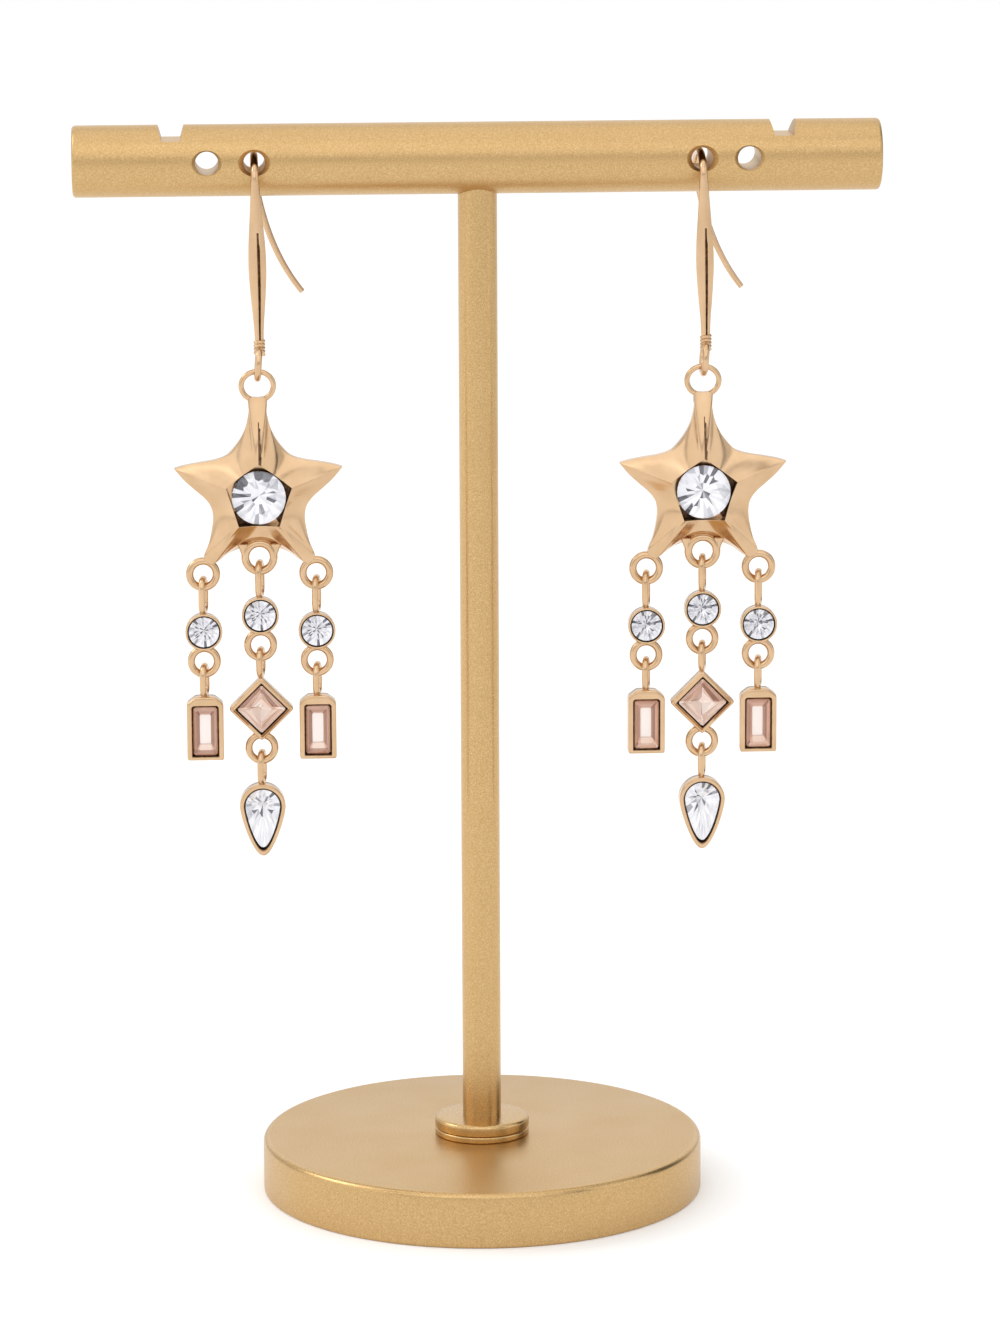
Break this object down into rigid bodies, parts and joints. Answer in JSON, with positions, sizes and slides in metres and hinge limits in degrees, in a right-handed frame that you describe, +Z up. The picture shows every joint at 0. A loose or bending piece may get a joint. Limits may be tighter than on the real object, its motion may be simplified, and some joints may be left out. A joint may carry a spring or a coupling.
{
  "type": "pair of star chandelier earrings on a T-bar display stand",
  "caption": "Gold T-bar jewellery stand with star chandelier earrings hung through its bar, each star carrying round, baguette, square and pear stone drops.",
  "frame": {"origin": "middle of the base's underside, on the surface that the stand rests on", "axes": "+Z up along the post, X along the bar, -Y towards the front where the stars face"},
  "size_m": [0.09, 0.0504, 0.1227],
  "materials": {
    "stand_gold": "satin sandblasted gold plating",
    "rose_gold": "polished light rose gold plating",
    "clear_stone": "clear faceted crystal with a foiled back",
    "peach_stone": "light peach faceted crystal with a foiled back"
  },
  "bodies": {
    "stand": {"base_disc": "stand_gold", "collar": "stand_gold", "post": "stand_gold", "crossbar": "stand_gold", "left_ear_hook": "rose_gold", "right_ear_hook": "rose_gold"},
    "left_star_drop": {"left_star": "rose_gold", "left_star_stone": "clear_stone", "left_round_setting_1": "rose_gold", "left_round_stone_1": "clear_stone", "left_round_setting_2": "rose_gold", "left_round_stone_2": "clear_stone", "left_round_setting_3": "rose_gold", "left_round_stone_3": "clear_stone", "left_baguette_setting_1": "rose_gold", "left_baguette_stone_1": "peach_stone", "left_baguette_setting_2": "rose_gold", "left_baguette_stone_2": "peach_stone", "left_square_setting": "rose_gold", "left_square_stone": "peach_stone", "left_pear_setting": "rose_gold", "left_pear_stone": "clear_stone"},
    "right_star_drop": {"right_star": "rose_gold", "right_star_stone": "clear_stone", "right_round_setting_1": "rose_gold", "right_round_stone_1": "clear_stone", "right_round_setting_2": "rose_gold", "right_round_stone_2": "clear_stone", "right_round_setting_3": "rose_gold", "right_round_stone_3": "clear_stone", "right_baguette_setting_1": "rose_gold", "right_baguette_stone_1": "peach_stone", "right_baguette_setting_2": "rose_gold", "right_baguette_stone_2": "peach_stone", "right_square_setting": "rose_gold", "right_square_stone": "peach_stone", "right_pear_setting": "rose_gold", "right_pear_stone": "clear_stone"}
  },
  "joints": [
    {"name": "left_star_swing", "type": "hinge", "parent": "stand", "child": "left_star_drop", "pos_m": [-0.02485, -0.00481, 0.09568], "axis": [1, 0, 0], "range_deg": [-35, 35]},
    {"name": "right_star_swing", "type": "hinge", "parent": "stand", "child": "right_star_drop", "pos_m": [0.02485, -0.00481, 0.09568], "axis": [1, 0, 0], "range_deg": [-35, 35]}
  ]
}
